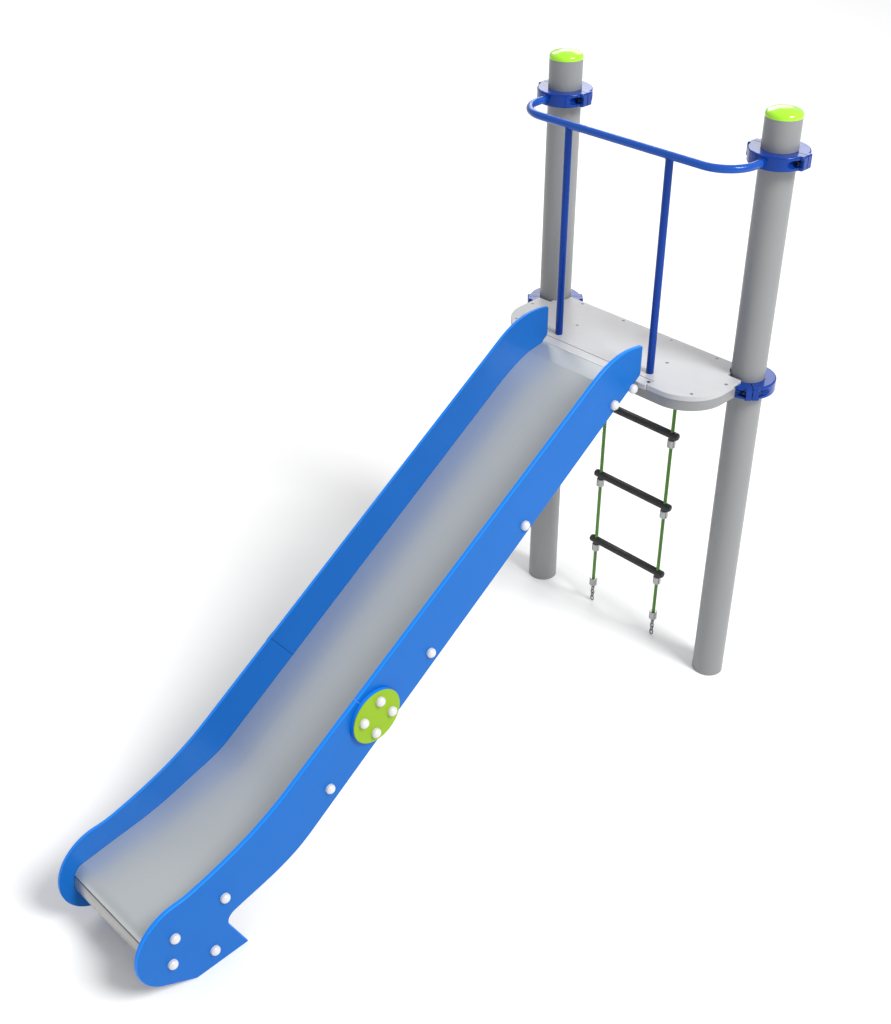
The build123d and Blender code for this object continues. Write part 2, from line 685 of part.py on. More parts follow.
def chain_link(x, z, turn):
    """One welded link: a round wire on a stadium, standing on end."""
    bend = (LINK_W - LINK_WIRE) / 2
    reach = (LINK_PITCH + LINK_PLAY + LINK_WIRE) / 2 - bend
    path = Wire([
        Line((bend, -reach), (bend, reach)),
        ThreePointArc((bend, reach), (0, reach + bend), (-bend, reach)),
        Line((-bend, reach), (-bend, -reach)),
        ThreePointArc((-bend, -reach), (0, -reach - bend), (bend, -reach)),
    ])
    link = sweep(Plane((bend, 0, 0), z_dir=(0, 1, 0)) * Circle(LINK_WIRE / 2), path=path)
    return Pos(x, 0, z) * Rot(0, 0, turn) * Rot(90, 0, 0) * link


def end_ferrule(x):
    """The cup that the rope ends in, tapered to the welded first link."""
    low, high = END_FERRULE
    cup = rod(x, 0, low + 8, FERRULE_D, high - low - 8)
    cup = fillet(cup.edges().filter_by(GeomType.CIRCLE).sort_by(Axis.Z)[-1], 2.5)
    cup += Pos(x, 0, low + 4) * Cone(12, FERRULE_D / 2, 8)
    cup -= rod(x, 0, ROPE_LOW - 1, ROPE_D + 2 * FIT, high - ROPE_LOW + 2)
    return cup + chain_link(x, LINK_TOP_Z, 0)


def chain(x):
    return [chain_link(x, LINK_TOP_Z - LINK_PITCH * n, 90 * (n % 2)) for n in range(1, 5)]


# ---------------------------------------------------------------- the assembly, node by node
def build():
    nodes = {}
    nodes["left_post"] = [post(-POST_X)]
    nodes["right_post"] = [post(POST_X)]
    nodes["post_feet"] = [post_foot(-POST_X), post_foot(POST_X)]
    nodes["left_post_cap"] = [post_cap(-POST_X)]
    nodes["right_post_cap"] = [post_cap(POST_X)]

    boss = RAIL_END_X - POST_X
    bolts = []
    nuts = []
    for side, name in ((-1, "left"), (1, "right")):
        x = side * POST_X
        front, rear = clamp_halves(x, UPPER_CLAMP_Z, 0, side * boss)
        nodes[f"upper_{name}_clamp_front"] = [front]
        nodes[f"upper_{name}_clamp_rear"] = [rear]
        inner, outer = clamp_halves(x, LOWER_CLAMP_Z, -45 * side)
        nodes[f"lower_{name}_clamp_inner"] = [inner]
        nodes[f"lower_{name}_clamp_outer"] = [outer]
        for z, turn in ((UPPER_CLAMP_Z, 0), (LOWER_CLAMP_Z, -45 * side)):
            more_bolts, more_nuts = clamp_fasteners(x, z, turn)
            bolts += more_bolts
            nuts += more_nuts
        nodes[f"{name}_guard_upright"] = [guard_upright(side * UPRIGHT_X)]
    nodes["clamp_bolts"] = bolts
    nodes["clamp_nuts"] = nuts
    nodes["guard_rail"] = [guard_rail()]

    nodes["deck_plate"] = [deck_plate()]
    nodes["entry_strip"] = [entry_strip()]
    nodes["deck_skirt"] = [deck_skirt()]
    nodes["deck_cross_bars"] = deck_cross_bars()
    nodes["deck_joists"] = deck_joists()
    nodes["deck_lugs"] = both_sides([deck_lug(x, y) for x, y in LUG_SCREWS])
    nodes["deck_screws"] = both_sides([deck_screw(x, y) for x, y in SCREWS])
    nodes["strip_screws"] = both_sides([deck_screw(*STRIP_SCREW)])

    upper, lower = boards()
    body, face = joint_disc()
    right_caps = [bolt_cap(y, z, PANEL_OUT) for y, z in TIE_POINTS]
    disc_out = PANEL_OUT + GAP + DISC_BODY + DISC_FACE
    disc_points = disc_bolt_points()
    for name, flip in (("right", lambda s: s), ("left", mirrored)):
        nodes[f"{name}_upper_panel"] = [flip(upper)]
        nodes[f"{name}_lower_panel"] = [flip(lower)]
        nodes[f"{name}_joint_disc"] = [flip(body)]
        nodes[f"{name}_disc_face"] = [flip(face)]
        nodes[f"{name}_bolt_caps"] = [flip(c) for c in right_caps]
    nodes["chute_sheet"] = [bent_sheet(SURFACE)]
    nodes["top_tie_bars"], nodes["tie_bars"] = tie_bars()
    nodes["toe_cover"] = [toe_cover()]
    nodes["toe_tube"] = [end_plated_tube(TOE_D, TOE_TUBE[0], TOE_TUBE[1], TUBE_WALL, 12)]
    nodes["tie_bolts"] = both_sides([button_bolt(y, z, PANEL_OUT, PANEL_T + 9) for y, z in TIE_POINTS])
    disc_shank = DISC_BODY + DISC_FACE + 10
    disc_bolts = [button_bolt(y, z, disc_out, disc_shank) for y, z in disc_points]
    nodes["disc_bolts"] = both_sides(disc_bolts)
    nodes["disc_nuts"] = both_sides([sleeve_nut(y, z) for y, z in disc_points])
    nodes["disc_bolt_caps"] = both_sides([bolt_cap(y, z, disc_out) for y, z in disc_points])
    nodes["slide_brackets"] = both_sides([slide_bracket()])
    nodes["bracket_bolts"] = both_sides([bracket_bolt(x) for x in BRACKET_BOLTS_X])

    nodes["ladder_hangers"] = both_sides([ladder_hanger(LADDER_X)])
    nodes["hanger_pins"] = both_sides([hanger_pin(LADDER_X)])
    nodes["rope_terminals"] = both_sides([rope_terminal(LADDER_X)])
    nodes["left_rope"] = [rope(-LADDER_X)]
    nodes["right_rope"] = [rope(LADDER_X)]
    for name, z in zip(("top", "middle", "bottom"), RUNG_Z):
        nodes[f"{name}_rung"] = [rung(z)]
    nodes["rung_collars"] = both_sides([rung_collar(LADDER_X, z) for z in RUNG_Z])
    nodes["rope_ferrules"] = both_sides([rope_ferrule(LADDER_X, z) for z in RUNG_Z])
    nodes["end_ferrules"] = both_sides([end_ferrule(LADDER_X)])
    nodes["left_chain"] = chain(-LADDER_X)
    nodes["right_chain"] = chain(LADDER_X)
    return nodes


def solids_of(shapes):
    return [solid for shape in shapes for solid in shape.solids()]


def write(nodes):
    for name, shapes in nodes.items():
        solids = [Pos(0, ORIGIN_Y, 0) * s for s in solids_of(shapes)]
        part = solids[0] if len(solids) == 1 else Compound(children=solids)
        part.label = name
        export_step(part, f"parts/{name}.step")


write(build())
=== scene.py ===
"""Looks for the playground slide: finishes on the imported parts, ropes, ribbed rungs, welds and the stage."""
import math

import bmesh
import bpy
from bpy.props import FloatProperty, FloatVectorProperty, IntProperty, PointerProperty
from mathutils import Matrix, Vector


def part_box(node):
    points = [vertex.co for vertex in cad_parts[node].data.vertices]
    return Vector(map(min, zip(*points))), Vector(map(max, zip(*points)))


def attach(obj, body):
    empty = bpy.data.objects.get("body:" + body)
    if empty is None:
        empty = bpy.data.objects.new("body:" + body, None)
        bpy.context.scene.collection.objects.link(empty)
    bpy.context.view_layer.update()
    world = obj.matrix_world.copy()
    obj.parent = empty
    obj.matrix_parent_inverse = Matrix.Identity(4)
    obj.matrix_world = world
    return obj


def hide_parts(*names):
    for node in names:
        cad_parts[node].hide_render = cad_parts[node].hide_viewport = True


bl_info = {
    "name": "Playground slide",
    "version": (1, 0, 0),
    "blender": (4, 5, 0),
    "location": "View3D > Sidebar > Slide",
    "description": "Finishes and soft details of a straight playground slide",
    "category": "Object",
}

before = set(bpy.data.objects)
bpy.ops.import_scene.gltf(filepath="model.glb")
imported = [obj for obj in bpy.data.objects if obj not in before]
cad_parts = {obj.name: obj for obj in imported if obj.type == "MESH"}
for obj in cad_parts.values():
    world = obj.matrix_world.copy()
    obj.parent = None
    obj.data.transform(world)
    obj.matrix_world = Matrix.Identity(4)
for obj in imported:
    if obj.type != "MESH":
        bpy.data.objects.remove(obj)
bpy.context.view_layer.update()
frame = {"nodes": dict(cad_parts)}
NODES = frame["nodes"]


# ------------------------------------------------------------------ properties
def colour(name, default):
    return FloatVectorProperty(
        name=name, description=name, subtype="COLOR", size=4, min=0, max=1, default=(*default, 1)
    )


def length(name, default):
    return FloatProperty(name=name, description=name, default=default, min=0, unit="LENGTH")


def angle(name, degrees):
    return FloatProperty(name=name, description=name, default=math.radians(degrees), unit="ROTATION")


class SlideColours(bpy.types.PropertyGroup):
    post: colour("Post powder coat", (0.237, 0.243, 0.247))
    lime: colour("Lime cap", (0.36, 0.8, 0.012))
    clamp: colour("Clamp blue", (0.002, 0.036, 0.26))
    # the rail's blue is lighter than the uprights' as painted light from above; the uprights hold the coat's
    # own blue
    rail: colour("Guard rail blue with painted top light", (0.010, 0.075, 0.40))
    upright: colour("Guard upright blue", (0.002, 0.035, 0.26))
    panel: colour("Panel blue", (0.004, 0.127, 0.475))
    # a lighter blue painted on the rounded panel edges as a highlight
    panel_edge_highlight: colour("Painted edge highlight blue", (0.010, 0.21, 0.78))
    disc: colour("Disc lime", (0.25, 0.42, 0.010))
    deck: colour("Deck grey", (0.475, 0.475, 0.49))
    skirt: colour("Skirt grey", (0.245, 0.249, 0.253))
    steel: colour("Chute steel", (0.53, 0.562, 0.578))
    toe: colour("Toe tube steel", (0.39, 0.39, 0.383))
    cap: colour("White bolt cap", (0.62, 0.62, 0.635))
    rope: colour("Rope green", (0.115, 0.29, 0.045))
    # darker green painted in the yarn grooves as shade
    rope_groove_shade: colour("Rope painted groove shade green", (0.05, 0.15, 0.02))
    rung: colour("Rung black", (0.022, 0.022, 0.023))
    ferrule: colour("Ferrule aluminium", (0.36, 0.36, 0.36))
    # dark blue-grey for the clamp bolts and nuts, as dark as the clamp pockets round them
    bolt: colour("Dark bolt steel", (0.045, 0.055, 0.085))
    chain: colour("Chain steel", (0.24, 0.245, 0.25))
    screw: colour("Deck screw steel", (0.14, 0.145, 0.15))
    frame: colour("Hidden frame steel", (0.34, 0.35, 0.36))


class SlideSizes(bpy.types.PropertyGroup):
    rope_strands: IntProperty(name="Strands", description="Strands in each rope", default=6, min=3)
    rope_pitch: length("Rope lay length", 0.085)
    rung_ribs: IntProperty(name="Ribs", description="Lengthwise ribs round a rung", default=14, min=6)
    rung_rib_depth: length("Rung rib depth", 0.0011)
    weld_bead: length("Weld bead radius", 0.0018)


class SlideStage(bpy.types.PropertyGroup):
    azimuth: angle("Camera azimuth", 45.722)
    tilt: angle("Camera tilt down", 34.591)
    roll: angle("Camera roll", -0.257)
    place: FloatVectorProperty(
        name="Camera place", description="Where the camera stands", unit="LENGTH", size=3,
        default=(2.9733, -2.69215, 3.9834),
    )
    lens: FloatProperty(name="Lens", description="Focal length in mm", default=47.10, unit="CAMERA")
    floor_size: length("Floor half width", 14.0)
    sky: FloatProperty(name="Sky", description="Strength of the even light", default=0.62, min=0)
    key_watts: FloatProperty(name="Key light", description="Power in watts", default=2600, min=0)
    back_watts: FloatProperty(name="Back light", description="Power in watts", default=105, min=0)
    backdrop_watts: FloatProperty(name="Backdrop light", description="Power in watts", default=450, min=0)


# ------------------------------------------------------------------ small helpers
def link(obj):
    """Puts a new object in the scene."""
    bpy.context.scene.collection.objects.link(obj)
    return obj


def mesh_piece(name, bm, smooth=True):
    """A new object from a bmesh, which is freed."""
    bmesh.ops.recalc_face_normals(bm, faces=bm.faces)
    mesh = bpy.data.meshes.new(name)
    bm.to_mesh(mesh)
    bm.free()
    for face in mesh.polygons:
        face.use_smooth = smooth
    return link(bpy.data.objects.new(name, mesh))


def paint(node, material):
    """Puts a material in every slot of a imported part."""
    for slot in NODES[node].material_slots:
        slot.material = material


def centre(node):
    """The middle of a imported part's box."""
    low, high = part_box(node)
    return (Vector(low) + Vector(high)) / 2


def bridge_rings(bm, rings, closed=False):
    """Quads between rings of vertices that follow each other."""
    count = len(rings[0])
    pairs = list(zip(rings, rings[1:]))
    if closed:
        pairs.append((rings[-1], rings[0]))
    for a, b in pairs:
        for i in range(count):
            j = (i + 1) % count
            bm.faces.new((a[i], a[j], b[j], b[i]))


# ------------------------------------------------------------------ shader groups
def new_group(name, inputs, outputs):
    """An empty shader group with its sockets, and its entry and exit nodes."""
    tree = bpy.data.node_groups.new(name, "ShaderNodeTree")
    for label, kind, default in inputs:
        socket = tree.interface.new_socket(label, in_out="INPUT", socket_type=kind)
        if default is not None:
            socket.default_value = default
    for label, kind in outputs:
        tree.interface.new_socket(label, in_out="OUTPUT", socket_type=kind)
    entry = tree.nodes.new("NodeGroupInput")
    leave = tree.nodes.new("NodeGroupOutput")
    return tree, entry, leave


def noise_group():
    """Soft colour mottling and a fine grain height, both from noise."""
    tree, entry, leave = new_group(
        "Mottle and grain",
        [
            ("Vector", "NodeSocketVector", None),
            ("Light", "NodeSocketColor", (1, 1, 1, 1)),
            ("Dark", "NodeSocketColor", (0.5, 0.5, 0.5, 1)),
            ("Patch scale", "NodeSocketFloat", 4.0),
            ("Grain scale", "NodeSocketFloat", 900.0),
        ],
        [("Colour", "NodeSocketColor"), ("Patches", "NodeSocketFloat"), ("Grain", "NodeSocketFloat")],
    )
    patches = tree.nodes.new("ShaderNodeTexNoise")
    patches.inputs["Detail"].default_value = 5
    patches.inputs["Roughness"].default_value = 0.6
    grain = tree.nodes.new("ShaderNodeTexNoise")
    grain.inputs["Detail"].default_value = 2
    mix = tree.nodes.new("ShaderNodeMix")
    mix.data_type = "RGBA"
    spread = tree.nodes.new("ShaderNodeMapRange")
    spread.inputs["From Min"].default_value = 0.32
    spread.inputs["From Max"].default_value = 0.68
    wire = tree.links.new
    wire(entry.outputs["Vector"], patches.inputs["Vector"])
    wire(entry.outputs["Vector"], grain.inputs["Vector"])
    wire(entry.outputs["Patch scale"], patches.inputs["Scale"])
    wire(entry.outputs["Grain scale"], grain.inputs["Scale"])
    wire(patches.outputs["Fac"], spread.inputs["Value"])
    wire(spread.outputs["Result"], mix.inputs["Factor"])
    wire(entry.outputs["Light"], mix.inputs["A"])
    wire(entry.outputs["Dark"], mix.inputs["B"])
    wire(mix.outputs["Result"], leave.inputs["Colour"])
    wire(spread.outputs["Result"], leave.inputs["Patches"])
    wire(grain.outputs["Fac"], leave.inputs["Grain"])
    return tree


def streak_group():
    """Fine streaks drawn along one axis, as rolling or brushing leaves them."""
    tree, entry, leave = new_group(
        "Streaks",
        [
            ("Vector", "NodeSocketVector", None),
            ("Stretch", "NodeSocketVector", (600.0, 6.0, 6.0)),
        ],
        [("Fine", "NodeSocketFloat"), ("Broad", "NodeSocketFloat")],
    )
    fine_map = tree.nodes.new("ShaderNodeMapping")
    fine = tree.nodes.new("ShaderNodeTexNoise")
    fine.inputs["Scale"].default_value = 1.0
    fine.inputs["Detail"].default_value = 4
    broad = tree.nodes.new("ShaderNodeTexNoise")
    broad.inputs["Scale"].default_value = 0.13
    broad.inputs["Detail"].default_value = 2
    wire = tree.links.new
    wire(entry.outputs["Vector"], fine_map.inputs["Vector"])
    wire(entry.outputs["Stretch"], fine_map.inputs["Scale"])
    wire(fine_map.outputs["Vector"], fine.inputs["Vector"])
    wire(fine_map.outputs["Vector"], broad.inputs["Vector"])
    wire(fine.outputs["Fac"], leave.inputs["Fine"])
    wire(broad.outputs["Fac"], leave.inputs["Broad"])
    return tree


def edge_group():
    """Mixes two colours: one on faces square to X, the other, a painted highlight, on everything turned away
    from it.
    """
    tree, entry, leave = new_group(
        "Painted highlight on edges",
        [
            ("Normal", "NodeSocketVector", None),
            ("Face", "NodeSocketColor", (1, 1, 1, 1)),
            ("Edge", "NodeSocketColor", (1, 1, 1, 1)),
        ],
        [("Colour", "NodeSocketColor"), ("Edge mask", "NodeSocketFloat")],
    )
    split = tree.nodes.new("ShaderNodeSeparateXYZ")
    size = tree.nodes.new("ShaderNodeMath")
    size.operation = "ABSOLUTE"
    ramp = tree.nodes.new("ShaderNodeMapRange")
    ramp.interpolation_type = "SMOOTHSTEP"
    ramp.inputs["From Min"].default_value = 0.985
    ramp.inputs["From Max"].default_value = 0.80
    mix = tree.nodes.new("ShaderNodeMix")
    mix.data_type = "RGBA"
    wire = tree.links.new
    wire(entry.outputs["Normal"], split.inputs["Vector"])
    wire(split.outputs["X"], size.inputs[0])
    wire(size.outputs["Value"], ramp.inputs["Value"])
    wire(ramp.outputs["Result"], mix.inputs["Factor"])
    wire(entry.outputs["Face"], mix.inputs["A"])
    wire(entry.outputs["Edge"], mix.inputs["B"])
    wire(mix.outputs["Result"], leave.inputs["Colour"])
    wire(ramp.outputs["Result"], leave.inputs["Edge mask"])
    return tree


GROUPS = {}


def group(name):
    """A shader group, built the first time that it is asked for."""
    makers = {"mottle": noise_group, "streaks": streak_group, "edge": edge_group}
    if name not in GROUPS:
        GROUPS[name] = makers[name]()
    return GROUPS[name]


# ------------------------------------------------------------------ materials
BLUE_SHEEN = (0.15, 0.35, 1.0)


class Finish:
    """One material under construction: its nodes, and short ways to add and wire them."""

    def __init__(self, name, rough, metal=0.0, specular=0.5, coat=0.0, coat_rough=0.1):
        self.material = bpy.data.materials.new(name)
        self.material.use_nodes = True
        self.tree = self.material.node_tree
        self.shader = self.tree.nodes["Principled BSDF"]
        self.shader.inputs["Roughness"].default_value = rough
        self.shader.inputs["Metallic"].default_value = metal
        self.shader.inputs["Specular IOR Level"].default_value = specular
        self.shader.inputs["Coat Weight"].default_value = coat
        self.shader.inputs["Coat Roughness"].default_value = coat_rough
        self.place = self.add("ShaderNodeTexCoord")

    def add(self, kind):
        return self.tree.nodes.new(kind)

    def wire(self, a, b):
        self.tree.links.new(a, b)

    def use(self, name):
        node = self.add("ShaderNodeGroup")
        node.node_tree = group(name)
        if "Vector" in node.inputs:
            self.wire(self.place.outputs["Object"], node.inputs["Vector"])
        return node

    def mottle(self, colour_value, darker=0.9, patch=4.0, grain=900.0):
        node = self.use("mottle")
        base = tuple(colour_value)
        node.inputs["Light"].default_value = base
        node.inputs["Dark"].default_value = (*[c * darker for c in base[:3]], 1)
        node.inputs["Patch scale"].default_value = patch
        node.inputs["Grain scale"].default_value = grain
        return node

    def bump(self, height, distance, strength=1.0, under=None):
        node = self.add("ShaderNodeBump")
        node.inputs["Strength"].default_value = strength
        node.inputs["Distance"].default_value = distance
        self.wire(height, node.inputs["Height"])
        if under is not None:
            self.wire(under.outputs["Normal"], node.inputs["Normal"])
        self.wire(node.outputs["Normal"], self.shader.inputs["Normal"])
        return node

    def vary_roughness(self, value, low, high):
        node = self.add("ShaderNodeMapRange")
        node.inputs["To Min"].default_value = low
        node.inputs["To Max"].default_value = high
        self.wire(value, node.inputs["Value"])
        self.wire(node.outputs["Result"], self.shader.inputs["Roughness"])


def coated(name, colour_value, rough, coat=0.0, darker=0.93, grain=900.0, grain_depth=0.00006, patch=3.0,
           tint=None):
    """A coloured coat or plastic with a fine grain; tint colours its sheen."""
    finish = Finish(name, rough, specular=0.5 if tint is None else 0.35, coat=coat, coat_rough=0.06)
    if tint is not None:
        finish.shader.inputs["Specular Tint"].default_value = (*tint, 1)
    node = finish.mottle(colour_value, darker, patch, grain)
    finish.wire(node.outputs["Colour"], finish.shader.inputs["Base Color"])
    finish.vary_roughness(node.outputs["Patches"], rough * 0.85, rough * 1.2)
    finish.bump(node.outputs["Grain"], grain_depth, 0.5)
    return finish.material


def board(name, face_colour, edge_highlight_colour, rough=0.34):
    """Thick plastic board: an orange-peel face, and a lighter colour painted on its routed edges as a
    highlight.
    """
    finish = Finish(name, rough, specular=0.16)
    face = finish.mottle(face_colour, 0.94, 2.2, 420.0)
    edge = finish.use("edge")
    finish.wire(finish.place.outputs["Normal"], edge.inputs["Normal"])
    finish.wire(face.outputs["Colour"], edge.inputs["Face"])
    edge.inputs["Edge"].default_value = tuple(edge_highlight_colour)
    finish.wire(edge.outputs["Colour"], finish.shader.inputs["Base Color"])
    finish.vary_roughness(face.outputs["Patches"], rough * 0.9, rough * 1.15)
    finish.bump(face.outputs["Grain"], 0.00012, 0.4)
    return finish.material


def metal(name, colour_value, rough, stretch=(500.0, 8.0, 8.0), depth=0.00003, share=1.0, spread=0.09):
    """Metal with streaks along one axis; share is how metallic it is, spread how far its tint varies."""
    finish = Finish(name, rough, metal=share)
    streaks = finish.use("streaks")
    streaks.inputs["Stretch"].default_value = stretch
    tint = finish.add("ShaderNodeMix")
    tint.data_type = "RGBA"
    base = tuple(colour_value)
    tint.inputs["A"].default_value = (*[c * (1 - spread) for c in base[:3]], 1)
    tint.inputs["B"].default_value = (*[min(1.0, c * (1 + spread)) for c in base[:3]], 1)
    finish.wire(streaks.outputs["Fine"], tint.inputs["Factor"])
    finish.wire(tint.outputs["Result"], finish.shader.inputs["Base Color"])
    finish.vary_roughness(streaks.outputs["Broad"], rough * 0.8, rough * 1.25)
    finish.bump(streaks.outputs["Fine"], depth, 0.5)
    return finish.material


def rope_material(colour_value, groove_shade):
    """Fibre yarns laid along each strand, with shade painted darker in the grooves."""
    finish = Finish("Rope fibre", 0.62, specular=0.25)
    finish.shader.inputs["Sheen Weight"].default_value = 0.15
    yarn = finish.use("streaks")
    yarn.inputs["Stretch"].default_value = (900.0, 900.0, 140.0)
    mix = finish.add("ShaderNodeMix")
    mix.data_type = "RGBA"
    # the darker colour is painted shade, mixed in where the yarn bump is low
    mix.inputs["A"].default_value = tuple(groove_shade)
    mix.inputs["B"].default_value = tuple(colour_value)
    ramp = finish.add("ShaderNodeMapRange")
    ramp.inputs["From Min"].default_value = 0.25
    ramp.inputs["From Max"].default_value = 0.55
    finish.wire(yarn.outputs["Fine"], ramp.inputs["Value"])
    finish.wire(ramp.outputs["Result"], mix.inputs["Factor"])
    finish.wire(mix.outputs["Result"], finish.shader.inputs["Base Color"])
    finish.bump(yarn.outputs["Fine"], 0.0004, 0.6)
    return finish.material


# ------------------------------------------------------------------ operators
class SlideOperator(bpy.types.Operator):
    """Shared options of every step."""

    bl_options = {"REGISTER", "UNDO"}


class SLIDE_OT_posts(SlideOperator):
    """Powder coat on the posts and gloss on their caps"""

    bl_idname = "slide.posts"
    bl_label = "Posts and caps"

    def execute(self, context):
        colours = context.scene.slide_colours
        coat = coated(
            "Post powder coat", colours.post, rough=0.42, coat=0.12, darker=0.96, grain=1300.0,
            grain_depth=0.00005, patch=1.6,
        )
        lime = coated(
            "Lime cap plastic", colours.lime, rough=0.16, coat=0.6, darker=0.97, grain=500.0,
            grain_depth=0.00002,
        )
        hidden = metal("Galvanised steel", colours.frame, rough=0.45, stretch=(60.0, 60.0, 60.0))
        for side in ("left", "right"):
            paint(f"{side}_post", coat)
            paint(f"{side}_post_cap", lime)
        paint("post_feet", hidden)
        return {"FINISHED"}


class SLIDE_OT_clamps(SlideOperator):
    """Glossy blue castings with steel bolts and nuts"""

    bl_idname = "slide.clamps"
    bl_label = "Clamps"

    def execute(self, context):
        colours = context.scene.slide_colours
        blue = coated(
            "Clamp blue coat", colours.clamp, rough=0.24, coat=0.35, darker=0.9, grain=700.0,
            grain_depth=0.00010, patch=14.0, tint=BLUE_SHEEN,
        )
        # the clamp bolts and nuts are coloured dark blue-grey, as dark as the pockets round them
        bolt = metal(
            "Dark bolt steel", colours.bolt, rough=0.34, stretch=(200.0, 200.0, 200.0),
        )
        for side in ("left", "right"):
            for part in ("front", "rear"):
                paint(f"upper_{side}_clamp_{part}", blue)
            for part in ("inner", "outer"):
                paint(f"lower_{side}_clamp_{part}", blue)
        for node in ("clamp_bolts", "clamp_nuts"):
            paint(node, bolt)
        return {"FINISHED"}


def weld_ring(name, middle, axis, radius, bead, lumps=22):
    """A closed weld bead round a tube, with the ripples that its passes leave."""
    bm = bmesh.new()
    around = 132
    section = 12
    turn = Vector((0, 0, 1)).rotation_difference(Vector(axis)).to_matrix()
    rings = []
    for i in range(around):
        a = 2 * math.pi * i / around
        ripple = 1 + 0.16 * math.cos(lumps * a)
        ring = []
        for j in range(section):
            b = 2 * math.pi * j / section
            r = radius + bead * ripple * math.cos(b)
            point = Vector((r * math.cos(a), r * math.sin(a), bead * ripple * math.sin(b)))
            ring.append(bm.verts.new(Vector(middle) + turn @ point))
        rings.append(ring)
    bridge_rings(bm, rings, closed=True)
    return mesh_piece(name, bm)


class SLIDE_OT_guard_rail(SlideOperator):
    """The rail, its uprights and the weld beads at their ends"""

    bl_idname = "slide.guard_rail"
    bl_label = "Guard rail"

    def execute(self, context):
        colours = context.scene.slide_colours
        bead = context.scene.slide_sizes.weld_bead
        # one blue coat made twice: the rail and its welds get painted light from above, the uprights the plain
        # coat
        blue = coated(
            "Rail blue coat with painted top light", colours.rail, rough=0.26, coat=0.35, darker=0.93, grain=900.0,
            grain_depth=0.00006, patch=8.0, tint=BLUE_SHEEN,
        )
        deep = coated(
            "Upright blue coat", colours.upright, rough=0.26, coat=0.2, darker=0.93, grain=900.0,
            grain_depth=0.00006, patch=8.0, tint=BLUE_SHEEN,
        )
        paint("guard_rail", blue)
        low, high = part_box("left_guard_upright")
        radius = (high[0] - low[0]) / 2
        rail_low, rail_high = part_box("guard_rail")
        rail_z = (rail_low[2] + rail_high[2]) / 2
        for side in ("left", "right"):
            node = f"{side}_guard_upright"
            paint(node, deep)
            spot = centre(node)
            rail_x = math.copysign(rail_high[0] - radius, spot.x)
            boss_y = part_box(f"upper_{side}_clamp_front")[0][1]
            boss_end = (rail_x, boss_y + bead * 0.3, rail_z)
            ring = weld_ring(f"{side}_boss_weld", boss_end, (0, 1, 0), radius, bead)
            join = self.saddle(f"{side}_upright_weld", spot, rail_z, radius, bead)
            for weld in (ring, join):
                weld.data.materials.append(blue)
                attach(weld, "frame")
        return {"FINISHED"}

    def saddle(self, name, spot, rail_z, radius, bead):
        """A bead on the line where the upright meets the underside of the rail."""
        bm = bmesh.new()
        rings = []
        around = 120
        for i in range(around):
            a = 2 * math.pi * i / around
            across = radius * math.cos(a)
            along = radius * math.sin(a)
            z = rail_z - math.sqrt(max(0.0, radius * radius - along * along)) - bead * 0.2
            outward = Vector((math.cos(a), math.sin(a), 0))
            ripple = bead * (0.9 + 0.14 * math.cos(20 * a))
            ring = []
            for j in range(10):
                b = 2 * math.pi * j / 10
                shift = outward * (ripple * math.cos(b)) + Vector((0, 0, ripple * math.sin(b)))
                ring.append(bm.verts.new(Vector((spot.x + across, spot.y + along, z)) + shift))
            rings.append(ring)
        bridge_rings(bm, rings, closed=True)
        return mesh_piece(name, bm)


class SLIDE_OT_deck(SlideOperator):
    """Anti-slip deck board, skirt frame and screws"""

    bl_idname = "slide.deck"
    bl_label = "Deck"

    def execute(self, context):
        colours = context.scene.slide_colours
        board_grey = coated(
            "Deck board", colours.deck, rough=0.40, coat=0.0, darker=0.95, grain=650.0,
            grain_depth=0.00022, patch=2.5,
        )
        skirt = coated(
            "Skirt coat", colours.skirt, rough=0.38, coat=0.1, darker=0.94, grain=900.0,
            grain_depth=0.00006, patch=3.0,
        )
        screws = metal("Screw steel", colours.screw, rough=0.32, stretch=(150.0, 150.0, 150.0))
        hidden = metal("Deck frame steel", colours.frame, rough=0.45, stretch=(60.0, 60.0, 60.0))
        for node in ("deck_plate", "entry_strip"):
            paint(node, board_grey)
        paint("deck_skirt", skirt)
        for node in ("deck_screws", "strip_screws", "bracket_bolts"):
            paint(node, screws)
        for node in ("deck_cross_bars", "deck_joists", "deck_lugs", "slide_brackets", "ladder_hangers"):
            paint(node, hidden)
        return {"FINISHED"}


class SLIDE_OT_chute(SlideOperator):
    """Satin steel on the chute, the toe tube and the tie bars"""

    bl_idname = "slide.chute"
    bl_label = "Chute"

    def execute(self, context):
        colours = context.scene.slide_colours
        satin = metal(
            "Satin chute steel", colours.steel, rough=0.36, stretch=(500.0, 4.0, 5.0), depth=0.00001,
            share=0.62, spread=0.04,
        )
        paint("chute_sheet", satin)
        toe = metal(
            "Toe steel", colours.toe, rough=0.34, stretch=(6.0, 400.0, 400.0), depth=0.00002,
            share=0.75,
        )
        for node in ("toe_tube", "toe_cover"):
            paint(node, toe)
        bars = metal("Tie bar steel", colours.frame, rough=0.42, stretch=(6.0, 400.0, 400.0))
        for node in ("top_tie_bars", "tie_bars"):
            paint(node, bars)
        return {"FINISHED"}


